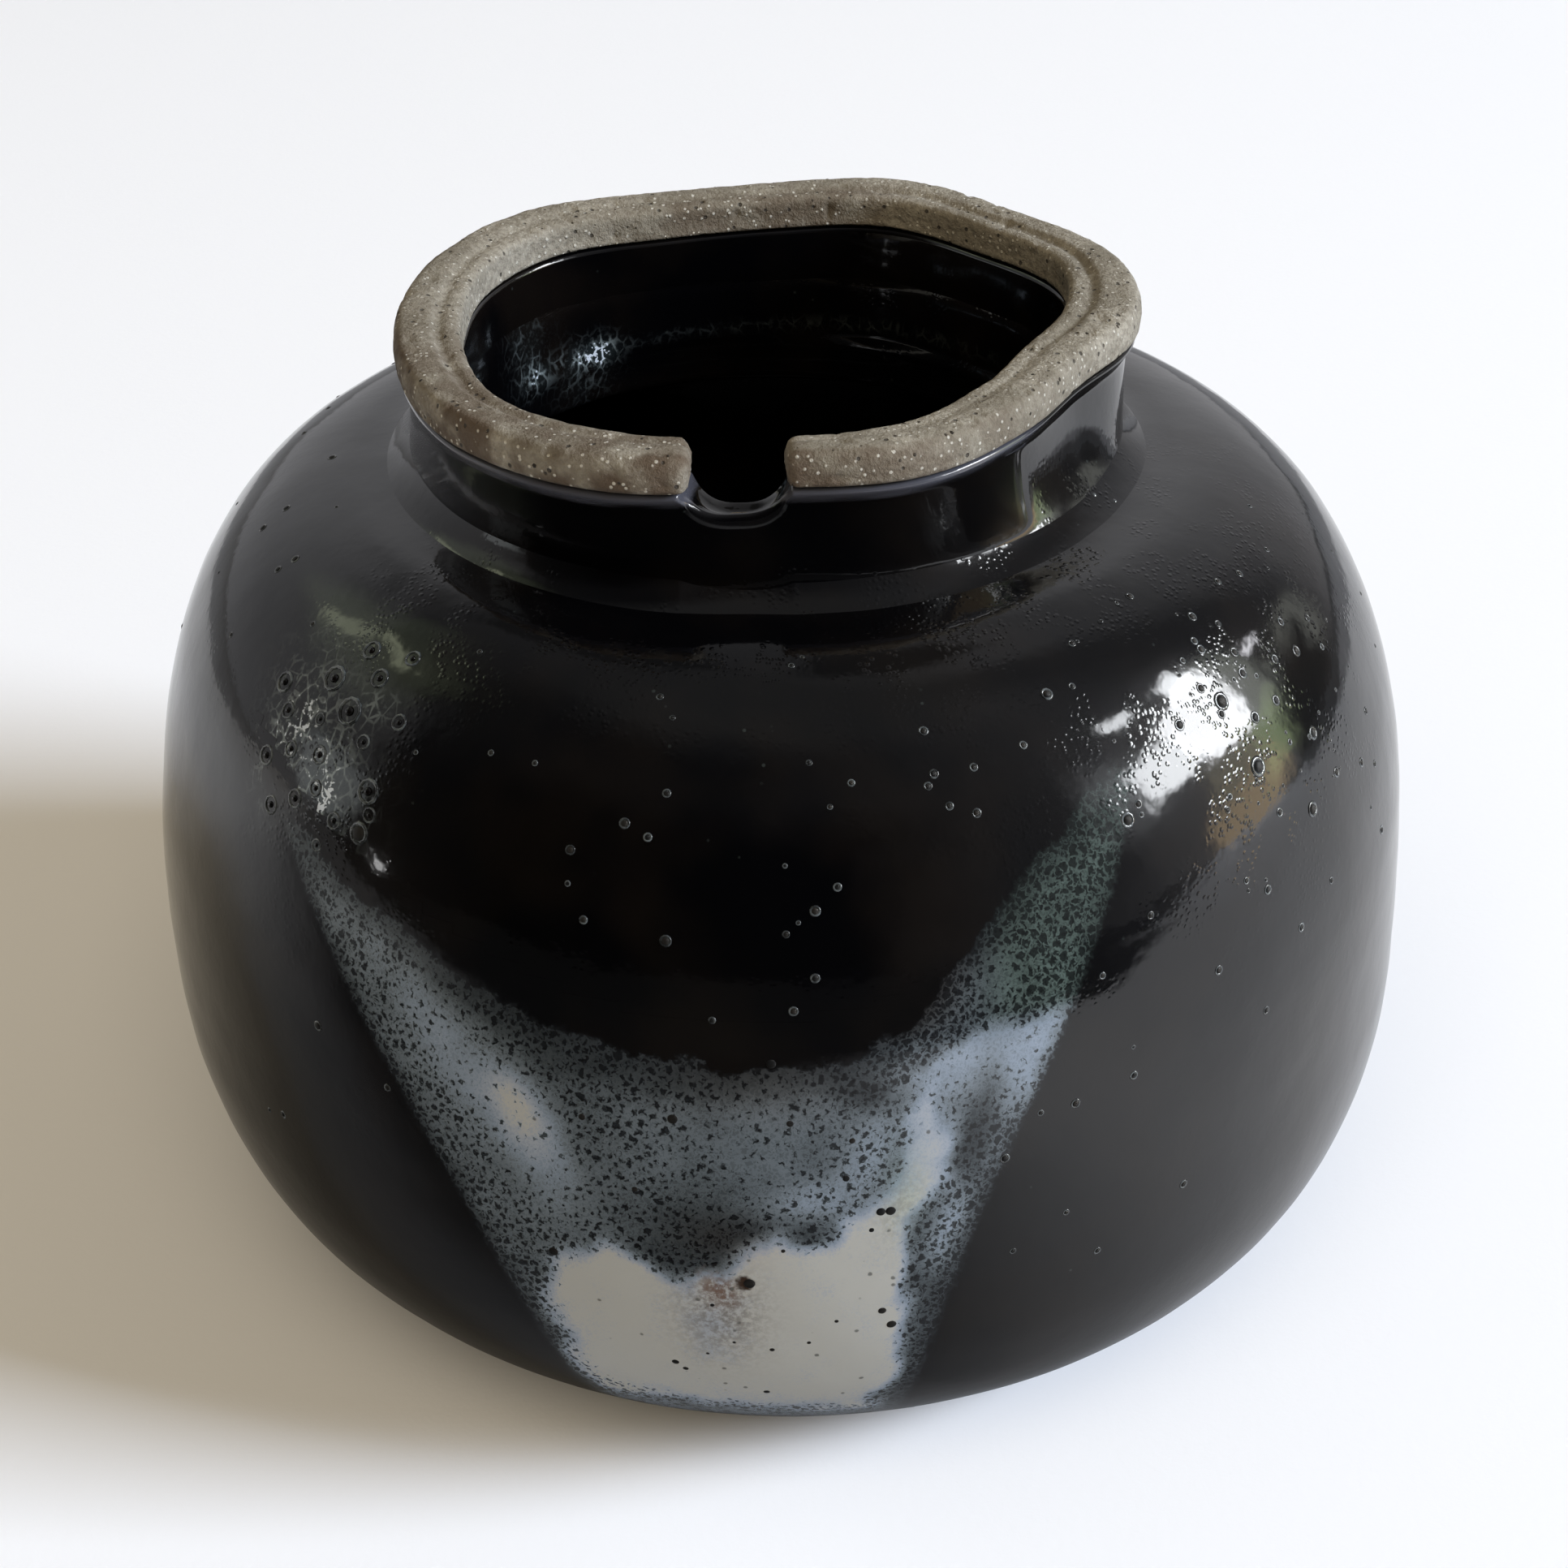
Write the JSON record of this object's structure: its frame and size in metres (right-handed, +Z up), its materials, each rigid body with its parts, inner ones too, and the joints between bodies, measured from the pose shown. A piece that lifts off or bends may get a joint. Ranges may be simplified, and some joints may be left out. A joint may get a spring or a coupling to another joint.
{
  "type": "glazed stoneware jar",
  "caption": "Squat round black-glazed stoneware jar with a short neck, a thick bare clay rim with a gap at the front, and a white glaze pour.",
  "frame": {"origin": "centre of the body's bounding box, on the plane the foot stands on", "axes": "+Z up through the mouth; -Y towards the gap in the rim"},
  "size_m": [0.14, 0.14, 0.1084],
  "materials": {
    "bare_clay": "unglazed stoneware with pale grog",
    "black_glaze": "glossy with pinholes",
    "white_glaze": "satin gloss, speckled at its edges"
  },
  "bodies": {
    "root": {"foot_ring": "bare_clay", "floor_disc": "bare_clay", "lower_wall": "bare_clay", "shoulder_wall": "bare_clay", "neck_collar": "bare_clay", "rim_strip": "bare_clay", "outer_glaze": "black_glaze", "inner_glaze": "black_glaze", "gap_glaze": "black_glaze", "white_pour": "white_glaze"}
  },
  "joints": []
}
